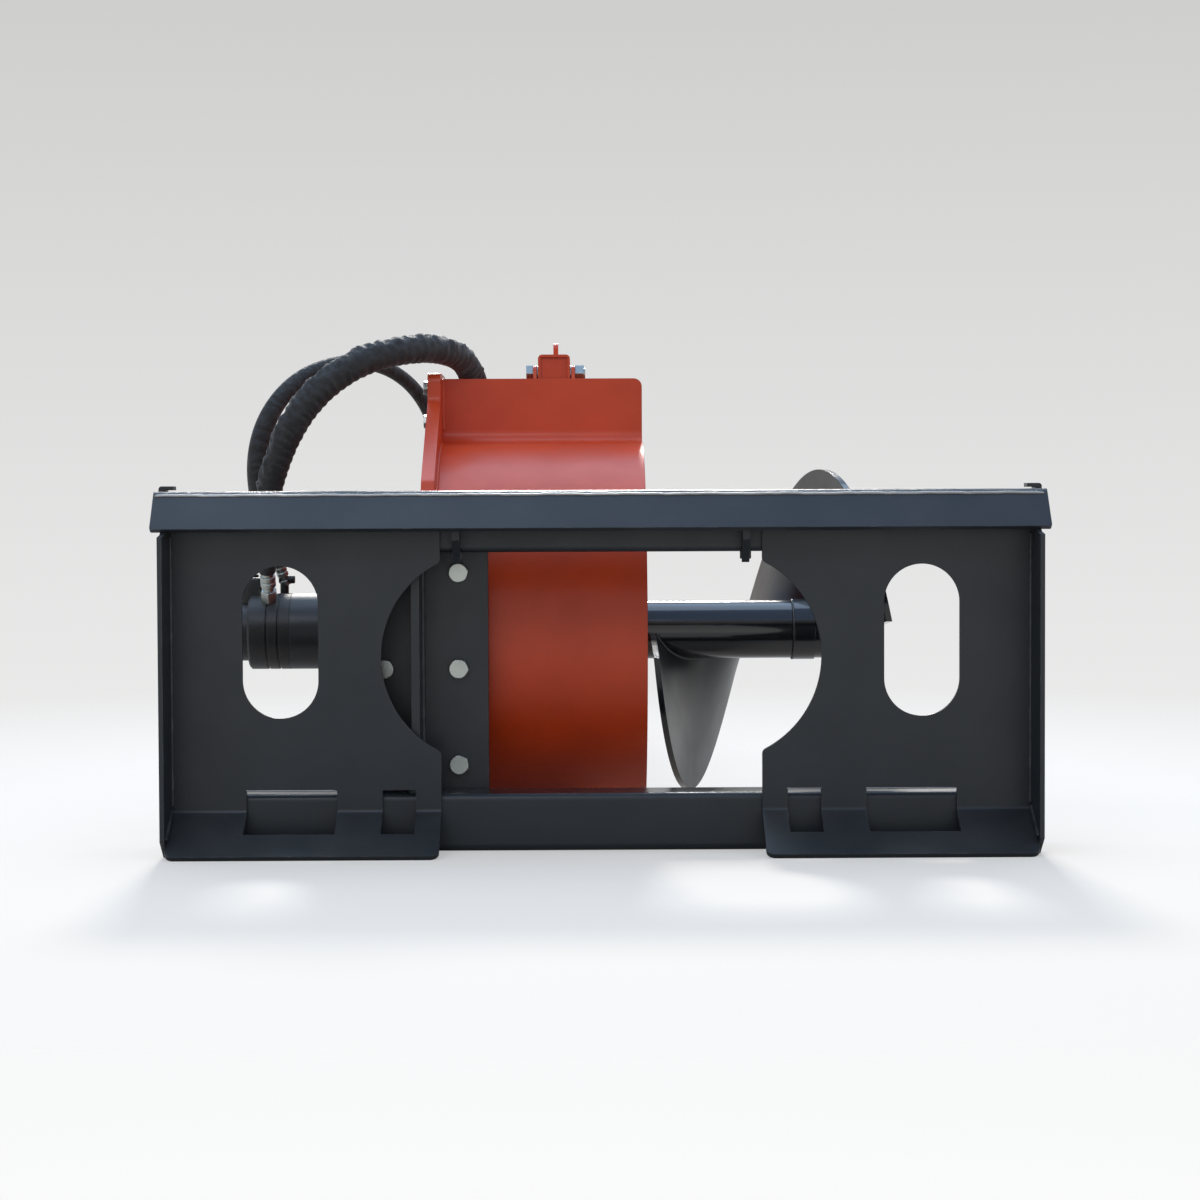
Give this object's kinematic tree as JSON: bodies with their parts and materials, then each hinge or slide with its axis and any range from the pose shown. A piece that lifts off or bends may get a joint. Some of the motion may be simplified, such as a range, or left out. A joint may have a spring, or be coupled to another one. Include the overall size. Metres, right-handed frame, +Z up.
{
  "type": "skid steer trencher",
  "caption": "Loader-mounted trencher with a quick-attach frame, hydraulic digging head, boom with digging chain, side auger, crumber arm and two hoses.",
  "frame": {"origin": "middle of the frame's width, on the loader side of its coupling plates, at ground level", "axes": "+X along the drive shaft towards the auger, +Y away from the loader along the boom, +Z up"},
  "size_m": [1.15, 1.7853, 0.696],
  "materials": {
    "frame_black": "satin black powder coat",
    "guard_orange": "gloss orange-red paint",
    "auger_black": "high gloss black paint",
    "motor_black": "semi-gloss black paint over casting",
    "zinc": "zinc plate",
    "bare_steel": "turned steel, lightly oiled",
    "chain_steel": "dark heat-treated steel",
    "cutter_steel": "black paint over forged steel",
    "hose_rubber": "matt black woven sleeve over rubber hose"
  },
  "bodies": {
    "frame": {"top_lip": "frame_black", "loader_plate_left": "frame_black", "loader_plate_right": "frame_black", "end_plate_left": "frame_black", "end_plate_right": "frame_black", "end_hooks": "frame_black", "upper_tube": "frame_black", "lower_tube": "frame_black", "pocket_ribs": "frame_black", "post_web": "frame_black", "post_flange": "frame_black", "head_mount_plate": "frame_black", "mount_bolts": "zinc", "head_side_plate": "guard_orange", "guard_shell": "guard_orange", "guard_bolts": "zinc", "bearing_housing": "frame_black", "housing_gusset": "frame_black", "housing_bolts": "zinc", "drive_bearings": "bare_steel", "shaft_seal": "bare_steel", "motor_body": "motor_black", "motor_cap": "motor_black", "boom_cross_mount": "frame_black", "boom_base_bar": "frame_black", "tension_screw": "zinc", "crumber_bracket": "guard_orange", "crumber_pivot_bolt": "zinc", "hose_a": "hose_rubber", "hose_b": "hose_rubber", "hose_a_fitting": "zinc", "hose_b_fitting": "zinc", "hose_a_coupler": "zinc", "hose_b_coupler": "zinc"},
    "drive": {"drive_shaft": "bare_steel", "sprocket": "bare_steel", "sprocket_hub": "bare_steel", "sprocket_bolts": "zinc", "auger_tube": "auger_black", "auger_flight": "auger_black", "auger_sleeve": "auger_black"},
    "boom": {"boom_tube": "frame_black", "wear_strips": "bare_steel", "nose_fork": "frame_black", "nose_axle": "bare_steel", "tension_nuts": "zinc", "chain_outer_links": "chain_steel", "chain_inner_links": "chain_steel", "chain_barrels": "chain_steel", "cutters_left": "cutter_steel", "cutters_right": "cutter_steel", "cutters_middle": "cutter_steel"},
    "nose_roller": {"nose_roller": "bare_steel", "nose_bush": "bare_steel"},
    "crumber_arm": {"crumber_arm": "guard_orange", "crumber_washers": "zinc", "crumber_eye": "guard_orange", "crumber_clamp_bolts": "zinc"},
    "crumber_bar": {"crumber_bar": "guard_orange", "crumber_shoe": "guard_orange"}
  },
  "joints": [
    {"name": "drive_spin", "type": "hinge", "parent": "frame", "child": "drive", "pos_m": [0, 0.378, 0.27], "axis": [1, 0, 0], "continuous": true, "deforming": ["chain_barrels"]},
    {"name": "boom_tension", "type": "slide", "parent": "frame", "child": "boom", "axis": [0, 0.9957, -0.0928], "range_m": [-0.02, 0.05], "deforming": ["chain_outer_links", "chain_inner_links", "cutters_left", "cutters_right", "cutters_middle"]},
    {"name": "nose_spin", "type": "hinge", "parent": "boom", "child": "nose_roller", "pos_m": [-0.063, 1.42123, 0.17275], "axis": [1, 0, 0], "continuous": true},
    {"name": "crumber_lift", "type": "hinge", "parent": "frame", "child": "crumber_arm", "pos_m": [-0.063, 0.427, 0.638], "axis": [1, 0, 0], "range_deg": [0, 60]},
    {"name": "crumber_reach", "type": "slide", "parent": "crumber_arm", "child": "crumber_bar", "axis": [0, 1, 0], "range_m": [0, 0.15]}
  ],
  "couplings": [
    {"joint": "nose_spin", "follows": "drive_spin", "ratio": 1.2582}
  ]
}
